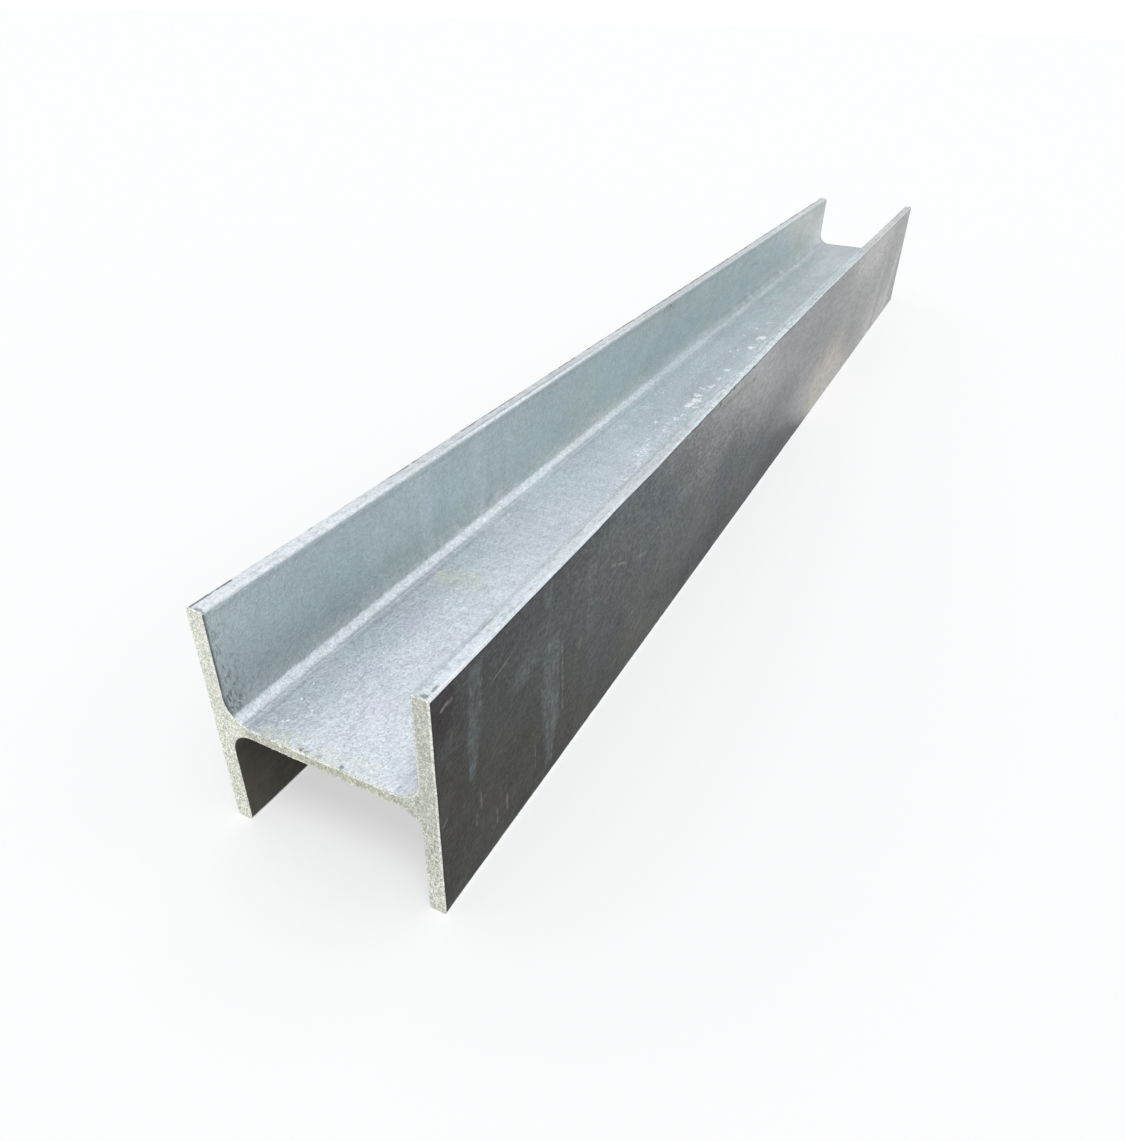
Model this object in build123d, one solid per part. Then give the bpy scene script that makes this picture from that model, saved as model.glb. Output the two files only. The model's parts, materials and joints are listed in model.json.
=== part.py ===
"""Hot-rolled steel I-beam, a short cut length with wide flanges.

The beam is one rolled piece. It lies as it is stored: web level, flanges upright, on the toes of
its two flanges. X runs along the length, Y across the flanges and Z up. The origin is on the
floor, under the middle of the beam.
"""

import os

from build123d import *

# Driving dimensions, in millimetres

length = 900.0
section_depth = 97.0  # over the outer faces of the two flanges
flange_width = 99.0  # toe to toe, which is the height of the beam as it lies
flange_thickness = 7.0
web_thickness = 5.0
root_radius = 10.0  # rolled fillet where the web runs into a flange
toe_radius = 1.2  # rolled round on each edge of a toe
cut_edge_break = 0.4  # bevel that the saw and the zinc bath leave round each cut end


def rolled_section():
    """The section about its own centre: two flanges joined by the web, with roots and toes rounded."""
    flange = Rectangle(flange_thickness, flange_width)
    flange_offset = (section_depth - flange_thickness) / 2
    web = Rectangle(section_depth - flange_thickness, web_thickness)
    section = Pos(-flange_offset, 0) * flange + web + Pos(flange_offset, 0) * flange

    lower_toes, lower_roots, upper_roots, upper_toes = section.vertices().group_by(Axis.Y)
    section = fillet(lower_roots + upper_roots, root_radius)

    rows = section.vertices().group_by(Axis.Y)
    return fillet(rows[0] + rows[-1], toe_radius)


def i_beam():
    """The section run out along X, lifted on to its toes, with the edges of both cut ends broken."""
    start = Plane.YZ.offset(-length / 2)
    beam = extrude(start * Pos(0, flange_width / 2) * rolled_section(), length)

    cut_ends = beam.faces().filter_by(Axis.X)
    return chamfer(cut_ends.edges(), cut_edge_break)


os.makedirs("parts", exist_ok=True)
export_step(i_beam(), "parts/i_beam.step")
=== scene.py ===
"""Looks of a short galvanised steel I-beam: the zinc coat with its runs, beads and dull patches.

The beam lies with its web level. X runs along it, Y across its flanges and Z up, in metres.
The near end is the one at the lowest X, and the right flange is the one at the lowest Y.
"""

import json
import math
import random

import bmesh
import bpy
from mathutils import Matrix, Vector, noise


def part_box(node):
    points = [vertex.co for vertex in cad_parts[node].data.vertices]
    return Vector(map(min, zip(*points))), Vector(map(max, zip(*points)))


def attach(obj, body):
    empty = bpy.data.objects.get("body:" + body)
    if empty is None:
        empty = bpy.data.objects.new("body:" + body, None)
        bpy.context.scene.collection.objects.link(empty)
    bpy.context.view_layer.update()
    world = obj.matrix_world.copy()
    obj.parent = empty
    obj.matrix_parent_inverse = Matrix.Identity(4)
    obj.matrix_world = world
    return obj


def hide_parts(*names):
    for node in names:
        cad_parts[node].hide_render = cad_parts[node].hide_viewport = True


bl_info = {
    "name": "Galvanised I-beam",
    "version": (1, 0, 0),
    "blender": (4, 5, 0),
    "location": "3D View > Sidebar > I-beam",
    "description": "Models the zinc coat of a short steel I-beam, its studio floor, lights and camera",
    "category": "Object",
}

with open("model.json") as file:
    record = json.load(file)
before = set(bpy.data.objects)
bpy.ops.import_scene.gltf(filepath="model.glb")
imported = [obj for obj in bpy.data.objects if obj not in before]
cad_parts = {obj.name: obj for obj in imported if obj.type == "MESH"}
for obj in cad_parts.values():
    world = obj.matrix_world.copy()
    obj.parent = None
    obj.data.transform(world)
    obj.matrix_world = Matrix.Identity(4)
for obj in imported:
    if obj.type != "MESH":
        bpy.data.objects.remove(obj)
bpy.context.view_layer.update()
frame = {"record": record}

NODE = "i_beam"
BODY = "root"
MM = 0.001
HAIR = 0.01 * MM  # how far a point may lie off a flat face and still count as on it


class Section:
    """The rolled section and the length, read from the frame's box and its flat faces."""

    low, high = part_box(NODE)
    face = {mount["name"]: Vector(mount["pos_m"]) for mount in frame["record"]["mounts"]}
    length = high.x - low.x
    middle = (low.z + high.z) / 2
    web_top = face["web_upper_face"].z
    web_bottom = face["web_lower_face"].z
    flange = 2 * (high.y - face["left_toe_on_floor"].y)
    inner_face = high.y - flange


def tone(red, green, blue):
    """A colour as a screen shows it, 0 to 255, turned into the linear values that a shader takes."""

    def linear(level):
        share = level / 255
        return share / 12.92 if share <= 0.04045 else ((share + 0.055) / 1.055) ** 2.4

    return (linear(red), linear(green), linear(blue))


def smooth(low, high, value):
    """From 0 below low to 1 above high, with a soft start and end."""
    share = min(max((value - low) / (high - low), 0.0), 1.0)
    return share * share * (3 - 2 * share)


def length_setting(label, about, default):
    return bpy.props.FloatProperty(
        name=label, description=about, default=default, min=0.0, unit="LENGTH", subtype="DISTANCE"
    )


def colour_setting(label, about, red, green, blue):
    default = tone(red, green, blue)
    return bpy.props.FloatVectorProperty(
        name=label, description=about, default=default, size=3, min=0.0, max=1.0, subtype="COLOR"
    )


class BeamShape(bpy.types.PropertyGroup):
    root_radius: length_setting("Root radius", "Fillet where the web runs into a flange", 10 * MM)
    toe_radius: length_setting("Toe radius", "Round on each edge of a flange toe", 1.2 * MM)
    edge_break: length_setting("Edge break", "Round that the saw and the zinc leave on a cut end", 0.4 * MM)
    mesh_step: length_setting("Mesh step", "Width of a face of the coat across the section", 2 * MM)
    stations: bpy.props.IntProperty(
        name="Stations", description="Faces of the coat along the beam", default=270, min=10
    )


class BeamColours(bpy.types.PropertyGroup):
    web_near: colour_setting("Web, near end", "Brightest zinc on the web", 224, 230, 237)
    web_shade: colour_setting("Web, by the root", "Greyer zinc along the left root", 190, 200, 207)
    web_middle: colour_setting("Web, middle", "Blue-grey zinc half way along the web", 193, 204, 210)
    web_dim: colour_setting("Web, dim", "Greyest stretch of the web", 176, 188, 191)
    web_far: colour_setting("Web, far end", "Paler zinc at the far end of the web", 182, 190, 195)
    lavender: colour_setting("Web, tint", "Faint lilac tint in the bright zinc", 219, 221, 233)
    straw: colour_setting("Web, stains", "Faint yellow stains on the web", 213, 219, 206)
    flange: colour_setting("Flange", "Blue-grey zinc on the inner faces", 203, 215, 218)
    # The next two are painted light: shade low on the inner faces, and a reflection past a slanting border
    # at their far end.
    flange_low_shade: colour_setting("Flange, low", "Darker zinc just above the web", 189, 200, 201)
    flange_far_reflection: colour_setting("Flange, far end", "Pale zinc at the far end", 207, 211, 211)
    # This white serves for white zinc in the runs and the hazes round them, and for painted highlights: the
    # root's glint, the toe edges, the toe shine and the web's near right part.
    white_zinc_and_glint: colour_setting("Frost", "White glints along roots, toes and grains", 232, 237, 242)
    soot: colour_setting("Dross", "Dark dross along edges", 84, 88, 88)
    # This grey serves for specks and dark marks, and for painted shade in the root's crease, the lines
    # beside its glint and the recess above the web.
    grey_marks_and_shade: colour_setting("Specks", "Grey specks on the web", 140, 150, 158)
    # The outer faces' tones below carry a painted reflection of the ground: shaded ground in the dark tones
    # at the near end, lit ground in the pale ones past a slanting border.
    patina_and_dark_reflection: colour_setting("Patina", "Dark olive patina at the near end of the outer faces", 50, 50, 44)
    umber: colour_setting("Umber", "Browner patches in the patina", 56, 52, 45)
    smudge: colour_setting("Smudge", "Darkest smudge by the near corner", 44, 36, 42)
    slate: colour_setting("Slate", "Slate patina further along", 87, 93, 95)
    ash: colour_setting("Ash", "Grey zinc past the patina", 150, 150, 151)
    pale: colour_setting("Pale", "Pale zinc towards the far end", 166, 165, 164)
    chalk: colour_setting("Chalk", "Lightest clouds towards the far end", 192, 191, 190)
    warm: colour_setting("Warm", "Warm patch low down, past the patina", 184, 178, 171)
    streak: colour_setting("Streaks", "Blue-grey streaks down the patina", 104, 112, 112)
    scratch: colour_setting("Scratches", "Bright scratches and flecks in the patina", 134, 134, 126)
    toe: colour_setting("Toe", "Whitish rough zinc on the toes", 218, 226, 232)
    toe_far: colour_setting("Toe, far end", "Greyer zinc at the far end of the toes", 200, 203, 206)
    worn: colour_setting("Toe, worn", "Bare patches on the toes", 160, 168, 174)
    cut: colour_setting("Cut", "Zinc over the web's sawn end", 197, 196, 180)
    cut_pale: colour_setting("Cut, pale", "Creamy zinc over the left flange's sawn end", 228, 229, 214)
    cut_grey: colour_setting("Cut, grey", "Greyer zinc over the right flange's sawn end", 200, 201, 190)
    # The next colour serves for bright grains and for the painted highlight round a cut end's rim.
    cut_grain_and_rim_highlight: colour_setting("Cut, rim", "Bright edge round a sawn end", 236, 236, 226)
    grit: colour_setting("Grit", "Dark grains in the sawn ends", 146, 146, 128)
    # The two underside colours below are painted shade, with a painted reflection of dark ground.
    shaded: colour_setting("Underside", "Brown-grey stain below the web", 84, 78, 68)
    underside_shade: colour_setting("Underside, dark", "Darker blotches below the web", 64, 60, 51)
    run: colour_setting("Runs", "Bright zinc of the runs", 244, 248, 250)


def add_node(tree, kind, inputs=None, **settings):
    """A new node with its settings, and its inputs set to values or linked from other sockets."""
    made = tree.nodes.new(kind)
    for name, value in settings.items():
        setattr(made, name, value)
    for name, value in (inputs or {}).items():
        if isinstance(value, bpy.types.NodeSocket):
            tree.links.new(value, made.inputs[name])
        else:
            made.inputs[name].default_value = value
    return made


def shader_tree(owner):
    owner.use_nodes = True
    owner.node_tree.nodes.clear()
    return owner.node_tree


# Mesh of the coated beam


def sharp_section(bm):
    """The H outline at the near end as one face, with square corners."""
    outer = Section.high.y
    inner = Section.inner_face
    top, bottom = Section.high.z, Section.low.z
    corners = [
        (outer, top),
        (inner, top),
        (inner, Section.web_top),
        (-inner, Section.web_top),
        (-inner, top),
        (-outer, top),
        (-outer, bottom),
        (-inner, bottom),
        (-inner, Section.web_bottom),
        (inner, Section.web_bottom),
        (inner, bottom),
        (outer, bottom),
    ]
    bm.faces.new([bm.verts.new((Section.low.x, y, z)) for y, z in corners])


def round_corners(bm, corners, radius, segments):
    bmesh.ops.bevel(
        bm,
        geom=corners,
        offset=radius,
        offset_type="OFFSET",
        segments=segments,
        profile=0.5,
        affect="VERTICES",
        clamp_overlap=False,
        material=-1,
    )


def divide_outline(bm, step):
    """Cuts each long edge of the outline into lengths of about one step."""
    edges_by_cuts = {}
    for edge in bm.edges:
        cuts = round(edge.calc_length() / step) - 1
        if cuts > 0:
            edges_by_cuts.setdefault(cuts, []).append(edge)
    for cuts, edges in edges_by_cuts.items():
        bmesh.ops.subdivide_edges(bm, edges=edges, cuts=cuts)


def run_out(bm, stations):
    """Draws the outline's face out along X and divides the run into stations."""
    face = bmesh.ops.edgeloop_fill(bm, edges=bm.edges[:])["faces"][0]
    drawn = bmesh.ops.extrude_face_region(bm, geom=[face], use_keep_orig=True)
    far_corners = [item for item in drawn["geom"] if isinstance(item, bmesh.types.BMVert)]
    bmesh.ops.translate(bm, vec=(Section.length, 0, 0), verts=far_corners)
    half = Section.length / 2
    long_edges = [edge for edge in bm.edges if edge.calc_length() > half]
    bmesh.ops.subdivide_edges(bm, edges=long_edges, cuts=stations - 1, use_grid_fill=True)
    bmesh.ops.recalc_face_normals(bm, faces=bm.faces[:])


NEAR_STEP_SHARE = 0.5  # the first station's length, as a share of the average one


def crowd_stations(bm):
    """Brings the stations closer together towards the near end, where the detail is seen best."""
    for vertex in bm.verts:
        share = (vertex.co.x - Section.low.x) / Section.length
        graded = NEAR_STEP_SHARE * share + (1 - NEAR_STEP_SHARE) * share * share
        vertex.co.x = Section.low.x + Section.length * graded


BAND_WIDTHS = (0.3 * MM, 0.35 * MM)  # rings inside a cut end's rounded edge
FINE_PASSES = 3  # times that the long edges inside a cut end are halved


def finish_cut_ends(bm, edge_break, step):
    """Rounds the edge of each cut end and lays rings and points inside it that the relief can move."""
    caps = [face for face in bm.faces if len(face.verts) > 4]
    steps = [(0.3 * edge_break, 0.7 * edge_break), (0.7 * edge_break, 0.3 * edge_break)]
    steps += [(width, 0.0) for width in BAND_WIDTHS]
    for cap in caps:
        outwards = math.copysign(1, cap.normal.x)
        for vertex in cap.verts:
            vertex.co.x -= outwards * edge_break
        for thickness, rise in steps:
            bmesh.ops.inset_region(
                bm, faces=[cap], thickness=thickness, depth=rise, use_even_offset=True, use_boundary=True
            )
    rim = bm.verts.layers.float.new("rim")
    inside = bmesh.ops.triangulate(bm, faces=caps)["faces"]
    innermost = {vertex for face in inside for vertex in face.verts}
    for vertex in bm.verts:
        depth = min(vertex.co.x - Section.low.x, Section.high.x - vertex.co.x)
        vertex[rim] = 1.0 if depth < edge_break and vertex not in innermost else 0.0
    for _ in range(FINE_PASSES):
        within = set(inside)
        long_edges = {
            edge
            for face in inside
            for edge in face.edges
            if edge.calc_length() > 1.3 * step and all(side in within for side in edge.link_faces)
        }
        if not long_edges:
            break
        cut = bmesh.ops.subdivide_edges(bm, edges=list(long_edges), cuts=1)
        touched = {item for item in cut["geom"] if isinstance(item, bmesh.types.BMFace)}
        untouched = {face for face in inside if face.is_valid}
        inside = bmesh.ops.triangulate(bm, faces=list(touched | untouched))["faces"]


LEAN = 2.2 * MM  # how far the right flange leans in at its top, half way along
LEAN_PEAK = 0.52  # where it leans most, as a share of the length
LEAN_WAVE = 0.14  # height of the slow wave in it, as a share of the lean
WAVES = 24  # lumps of that wave per metre


def lean_flange(bm):
    """Bends the upper part of the right flange slightly inwards, most near the middle of the beam."""
    reach = Section.high.z - Section.web_top
    for vertex in bm.verts:
        height = (vertex.co.z - Section.web_top) / reach
        if vertex.co.y < HAIR - Section.inner_face and height > 0:
            share = (vertex.co.x - Section.low.x) / Section.length
            bow = smooth(0.0, LEAN_PEAK, share) * smooth(1.0, LEAN_PEAK, share)
            wave = noise.noise(Vector((vertex.co.x * WAVES, 3, 8))) * smooth(0.0, 0.05, share)
            vertex.co.y += LEAN * (bow + LEAN_WAVE * wave) * height**1.5


# Swell, ripple and peel of the coat: lumps per metre, where in the noise they start, height in millimetres
RELIEF = (
    (14, Vector((0, 0, 0)), 0.10),
    (110, Vector((7, 1, 4)), 0.08),
    (300, Vector((2, 9, 5)), 0.07),
)
TOE_LUMPS = 170  # lumps per metre along the toes
LUMP_FLOOR = 0.12  # level that the noise must rise above to make one of them
LUMP_HEIGHT = 0.22  # in millimetres
SET_BACK = 0.06  # how far the whole coat is drawn back, in millimetres


def relief(place):
    """How far the coat stands out of the rolled surface at a point, in metres."""
    height = sum(noise.noise(place * often + start) * high for often, start, high in RELIEF)
    by_toe = smooth(6 * MM, 2 * MM, min(place.z - Section.low.z, Section.high.z - place.z))
    lumps = max(noise.noise(place * TOE_LUMPS) - LUMP_FLOOR, 0) * LUMP_HEIGHT * by_toe
    return (height + lumps - SET_BACK) * MM


def lay_zinc(bm):
    """Moves the surface in and out by the relief, and keeps it inside the CAD solid's box."""
    bm.normal_update()
    moves = [vertex.normal * relief(vertex.co) for vertex in bm.verts]
    for vertex, move in zip(bm.verts, moves):
        vertex.co = inside_box(vertex.co + move)


def inside_box(place):
    return Vector([min(max(place[axis], Section.low[axis]), Section.high[axis]) for axis in range(3)])


TOE_BAND = 1.0 * MM  # how far the toe's finish reaches round its edges
MATERIAL_ORDER = ("web_zinc", "outer_zinc", "toe_zinc", "underside_zinc", "cut_zinc")


def surface_of(face, edge_break):
    """The name of the material that a face of the coat has."""
    place = face.calc_center_median()
    if min(place.x - Section.low.x, Section.high.x - place.x) < edge_break * 0.9:
        return "cut_zinc"
    if min(place.z - Section.low.z, Section.high.z - place.z) < TOE_BAND:
        return "toe_zinc"
    if abs(place.y) > Section.high.y - TOE_BAND:
        return "outer_zinc"
    return "web_zinc" if place.z > Section.middle else "underside_zinc"


def keep_place(bm):
    """Notes where each point lies in the straight section, so that the finishes keep to its edges."""
    straight = bm.verts.layers.float_vector.new("straight")
    for vertex in bm.verts:
        vertex[straight] = vertex.co


def make_object(name, bm, materials):
    if "straight" not in bm.verts.layers.float_vector:
        keep_place(bm)
    for face in bm.faces:
        face.smooth = True
    mesh = bpy.data.meshes.new(name)
    bm.to_mesh(mesh)
    bm.free()
    for material in materials:
        mesh.materials.append(material)
    thing = bpy.data.objects.new(name, mesh)
    bpy.context.scene.collection.objects.link(thing)
    return thing


def coated_beam(shape):
    bm = bmesh.new()
    sharp_section(bm)
    roots = [vertex for vertex in bm.verts if abs(vertex.co.z - Section.middle) < Section.flange]
    round_corners(bm, roots, shape.root_radius, 10)
    half_width = Section.high.z - Section.middle
    toes = [vertex for vertex in bm.verts if abs(vertex.co.z - Section.middle) > half_width - HAIR]
    round_corners(bm, toes, shape.toe_radius, 4)
    bmesh.ops.delete(bm, geom=bm.faces[:], context="FACES_ONLY")
    divide_outline(bm, shape.mesh_step)
    run_out(bm, shape.stations)
    crowd_stations(bm)
    finish_cut_ends(bm, shape.edge_break, shape.mesh_step)
    for face in bm.faces:
        face.material_index = MATERIAL_ORDER.index(surface_of(face, shape.edge_break))
    keep_place(bm)
    lean_flange(bm)
    lay_zinc(bm)
    return bm


# Materials


# The grain draws out along the beam with the logarithm of the distance from a point before its near end
DRAW_FROM = 700.0  # how far that point lies before the middle, in millimetres
DRAW = 300.0  # distance from it at which the grain has its own length

BOTH_SIDES = 500.0  # reach across, in millimetres, that takes in both outer faces


class Finish:
    """A node material in the making. Lengths in its patterns are millimetres on the beam."""

    def __init__(self, name, metallic, specular=0.5):
        self.material = bpy.data.materials.new(name)
        self.tree = shader_tree(self.material)
        inputs = {"Metallic": metallic, "Specular IOR Level": specular}
        self.shader = self.node("ShaderNodeBsdfPrincipled", inputs)
        self.node("ShaderNodeOutputMaterial", {"Surface": self.shader.outputs["BSDF"]})
        metres = self.node("ShaderNodeAttribute", attribute_name="straight").outputs["Vector"]
        self.place = self.stretched((1 / MM, 1 / MM, 1 / MM), metres)
        axes = self.node("ShaderNodeSeparateXYZ", {"Vector": self.place}).outputs
        self.x, self.y, self.z = axes["X"], axes["Y"], axes["Z"]
        self.side = self.math("ABSOLUTE", self.y)
        share = self.math("MULTIPLY_ADD", self.x, 1 / DRAW, DRAW_FROM / DRAW)
        along = self.math("MULTIPLY", self.math("LOGARITHM", share, math.e), DRAW)
        drawn = self.node("ShaderNodeCombineXYZ", {"X": along, "Y": self.y, "Z": self.z})
        self.drawn = drawn.outputs["Vector"]

    def node(self, kind, inputs=None, **settings):
        return add_node(self.tree, kind, inputs, **settings)

    def math(self, operation, first, second=0.0, third=0.0):
        return self.node("ShaderNodeMath", {0: first, 1: second, 2: third}, operation=operation).outputs[0]

    def vector_math(self, operation, first, second=(0, 0, 0)):
        return self.node("ShaderNodeVectorMath", {0: first, 1: second}, operation=operation).outputs

    def product(self, first, *others):
        for other in others:
            first = self.math("MULTIPLY", first, other)
        return first

    def most(self, first, *others):
        """The highest of the values."""
        for other in others:
            first = self.math("MAXIMUM", first, other)
        return first

    def slant(self, first, second, slope):
        """first + slope * second"""
        return self.math("MULTIPLY_ADD", second, slope, first)

    def distance(self, value, middle):
        return self.math("ABSOLUTE", self.math("SUBTRACT", value, middle))

    def span(self, value, low, high, start=0.0, end=1.0):
        """Turns low..high softly into start..end."""
        inputs = {"Value": value, "From Min": low, "From Max": high, "To Min": start, "To Max": end}
        return self.node("ShaderNodeMapRange", inputs, interpolation_type="SMOOTHSTEP").outputs["Result"]

    def fade(self, value, low, high, end=0.0):
        """1 up to low, and softly down or up to end at high."""
        return self.span(value, low, high, 1.0, end)

    def band(self, value, low, high, soft):
        """1 between low and high, and 0 beyond them, with soft flanks."""
        return self.product(self.span(value, low - soft, low), self.fade(value, high, high + soft))

    def stretched(self, scale, vector=None, turn=(0, 0, 0)):
        inputs = {"Vector": vector or self.place, "Scale": scale, "Rotation": turn}
        return self.node("ShaderNodeMapping", inputs).outputs["Vector"]

    def grain(self, size, detail=2.0, rough=0.5, stretch=None, warp=0.0, turn=(0, 0, 0), drawn=False):
        """Cloudy noise with lumps about one size across, longer by stretch along each axis.

        Drawn lumps also grow longer along the beam towards its far end.
        """
        vector = self.drawn if drawn else self.place
        if stretch:
            vector = self.stretched([1 / share for share in stretch], vector, turn)
        inputs = {"Vector": vector, "Scale": 1 / size, "Detail": detail, "Roughness": rough}
        inputs["Distortion"] = warp
        return self.node("ShaderNodeTexNoise", inputs).outputs["Fac"]

    def wavy(self, value, amount, *grain, **more):
        """Moves a value up and down by a grain, over the amount in all."""
        return self.slant(value, self.math("SUBTRACT", self.grain(*grain, **more), 0.5), amount)

    def cells(self, size):
        """Distance from the middles of soft cells about one size across."""
        inputs = {"Vector": self.place, "Scale": 1 / size}
        return self.node("ShaderNodeTexVoronoi", inputs, feature="SMOOTH_F1").outputs["Distance"]

    def patch(self, middle, reach, ragged=0.0):
        """1 at a place and 0 beyond its reach along each axis, with a ragged edge where asked."""
        near = self.vector_math("SUBTRACT", self.place, middle)[0]
        near = self.stretched([1 / share for share in reach], near)
        away = self.vector_math("LENGTH", near)["Value"]
        if ragged:
            away = self.wavy(away, ragged, min(reach) * 0.6, 3)
        return self.fade(away, 0.35, 1.0)

    def outer_patch(self, along, height, half_length, half_height, ragged):
        """A patch on both outer faces."""
        return self.patch((along, -EDGE, height), (half_length, BOTH_SIDES, half_height), ragged)

    def stroke(self, start, end, half_width):
        """1 along a line from start to end, each a place along the beam and a height, with soft ends."""
        run = Vector((end[0] - start[0], 0, end[1] - start[1]))
        flat = self.stretched((1, 0, 1))
        out = self.vector_math("SUBTRACT", flat, (start[0], 0, start[1]))[0]
        share = self.vector_math("DOT_PRODUCT", out, run / run.length_squared)["Value"]
        share = self.node("ShaderNodeClamp", {"Value": share}).outputs[0]
        along = self.node("ShaderNodeVectorMath", {0: run, "Scale": share}, operation="SCALE").outputs[0]
        away = self.vector_math("DISTANCE", out, along)["Value"]
        return self.fade(away, 0.3 * half_width, half_width)

    def mix(self, amount, first, second, mode="MIX"):
        """Blends two colours, each a socket or three linear values."""
        made = self.tree.nodes.new("ShaderNodeMix")
        made.data_type = "RGBA"
        made.blend_type = mode
        sockets = [socket for socket in made.inputs if socket.enabled]
        for socket, value in zip(sockets, (amount, first, second)):
            if isinstance(value, bpy.types.NodeSocket):
                self.tree.links.new(value, socket)
            else:
                socket.default_value = value if socket.name == "Factor" else (*value, 1.0)
        return next(socket for socket in made.outputs if socket.enabled)

    def lay(self, colour, over, *amounts):
        """Lays another colour over a colour, by the product of the amounts."""
        return self.mix(self.product(*amounts), colour, over)

    def shade(self, colour, level):
        """Multiplies a colour by a grey level."""
        grey = self.node("ShaderNodeCombineColor", {"Red": level, "Green": level, "Blue": level}).outputs[0]
        return self.mix(1.0, colour, grey, "MULTIPLY")

    def drift(self, colour, amount, first, second):
        """Tints a colour one way where the amount is 0 and the other way where it is 1."""
        return self.mix(1.0, colour, self.mix(amount, first, second), "MULTIPLY")

    def eased(self, level, strength):
        """Brings a level closer to 1 where the strength is below 1."""
        return self.math("MULTIPLY_ADD", self.math("SUBTRACT", level, 1.0), strength, 1.0)

    def change(self, level, where, factor):
        """Multiplies a level by a factor where a mask is 1."""
        return self.product(level, self.fade(where, 0, 1, factor))

    def finish(self, colour, roughness, heights):
        """Links the colour and the roughness, and stacks bumps from pairs of height and depth in mm."""
        for name, value in (("Base Color", colour), ("Roughness", roughness)):
            self.tree.links.new(value, self.shader.inputs[name])
        normal = None
        for height, depth in heights:
            inputs = {"Height": height, "Distance": depth * MM}
            if normal:
                inputs["Normal"] = normal
            normal = self.node("ShaderNodeBump", inputs).outputs["Normal"]
        self.tree.links.new(normal, self.shader.inputs["Normal"])
        return self.material


NEAR_END = Section.low.x / MM
FAR_END = Section.high.x / MM
WEB_TOP = Section.web_top / MM
TOP = Section.high.z / MM
EDGE = Section.high.y / MM
INNER = Section.inner_face / MM

# Tints that a colour is multiplied by, red, green and blue
WHITE = (1.0, 1.0, 1.0)
COOL = (0.99, 1.045, 1.055)
LILAC = (1.012, 0.998, 1.008)
SEA_GREEN = (0.988, 1.002, 0.997)
SEA_BLUE = (0.994, 1.0, 1.004)
OLIVE = (1.008, 1.003, 0.985)
BROWN = (1.045, 1.01, 0.945)
PLUM_BLUE = (0.972, 0.982, 1.035)


# Web and inner faces

# Darker and lighter clouds, in millimetres: middle, reach, and level, below 1 for darker
WEB_SHADES = (
    ((0, 7, WEB_TOP), (130, 12, 9), 0.9),
    ((338, 9, WEB_TOP), (60, 20, 9), 1.09),
    ((-400, 15, WEB_TOP), (90, 14, 9), 1.06),
    ((428, INNER, 94), (60, 9, 18), 0.87),
    ((425, INNER, WEB_TOP + 11), (50, 6, 11), 1.08),
    ((-112, 27, WEB_TOP), (56, 9, 9), 1.05),
)

# Clouds of fine white mottling round the runs, in millimetres: middle, reach, strength
HAZES = (
    ((-168, -1, WEB_TOP), (19, 7, 9), 0.7),
    ((-134, 0, WEB_TOP), (20, 7, 9), 0.5),
    ((-82, 0, WEB_TOP), (20, 6.5, 9), 0.6),
    ((-50, 1, WEB_TOP), (12, 5, 9), 0.4),
    ((-8, 1, WEB_TOP), (9, 5, 9), 0.4),
    ((62, 0, WEB_TOP), (26, 5, 9), 0.5),
    ((-250, -5, WEB_TOP), (50, 6, 9), 0.35),
    ((-200, -7, WEB_TOP), (34, 7, 9), 0.5),
)

# Yellow stains, in millimetres: middle, reach, strength
STAINS = (
    ((-333, 19, WEB_TOP), (12, 18, 9), 0.7),
    ((-286, 30, WEB_TOP), (16, 8, 9), 0.25),
)

# Painted shade beside the root's glint, a thin dark line and a broader band on the web, in millimetres off
# the inner face: low, high, softness, strength
ROOT_SHADE_LINES = ((-7.4, -7.1, 0.5, 0.35), (-10.4, -8.9, 0.9, 0.3))

NICKS = (8.7, 6.4, 1.1, -8.8)  # places across of dark nicks in the web's near edge, in millimetres


def web_faces(make, colours, brushed):
    """Bright zinc of the web, with painted shade along the left root, a painted sheen on its right part near
    the near end, and dimmer past the middle.
    """
    near = make.fade(make.x, NEAR_END, -90)
    web = make.mix(near, colours.web_middle, colours.web_near)
    web = make.lay(web, colours.web_far, make.span(make.x, 150, FAR_END))
    web = make.lay(web, colours.web_dim, make.span(make.x, 0, 190), make.fade(make.x, 270, 400), 0.8)
    tint = make.span(make.grain(34, 2), 0.38, 0.62)
    web = make.lay(web, colours.lavender, tint, near, 0.8)
    # Painted shade on the web along the left root, near the near end.
    web = make.lay(web, colours.web_shade, make.span(make.y, 0, 27), make.fade(make.x, -360, -180), 0.75)
    streaky = make.span(brushed, 0.36, 0.6, 0.45, 1.0)
    for middle, reach, share in STAINS:
        web = make.lay(web, colours.straw, make.patch(middle, reach, 1.1), streaky, share)
    # Painted shade on the web beside the left root, from the middle on.
    left_root_shade = make.product(make.span(make.side, 22, 33), make.span(make.y, -1, 1))
    web = make.lay(web, colours.web_dim, left_root_shade, make.span(make.x, -60, 130), 0.6)
    # Painted sheen: the web's right part whiter near the near end.
    near_right_sheen = make.product(make.span(make.x, -400, -300, 0.35, 0.0), make.span(make.y, 20, -10))
    web = make.lay(web, colours.white_zinc_and_glint, near_right_sheen)
    mottle = make.span(make.grain(2.4, 3, 0.6, stretch=(0.8, 1.3, 1)), 0.46, 0.6)
    for middle, reach, share in HAZES:
        web = make.lay(web, colours.white_zinc_and_glint, make.patch(middle, reach, 0.7), mottle, share)
    tint = make.span(make.grain(23, 3, stretch=(1.4, 1, 1)), 0.42, 0.6)
    return make.drift(web, tint, LILAC, SEA_GREEN)


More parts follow.
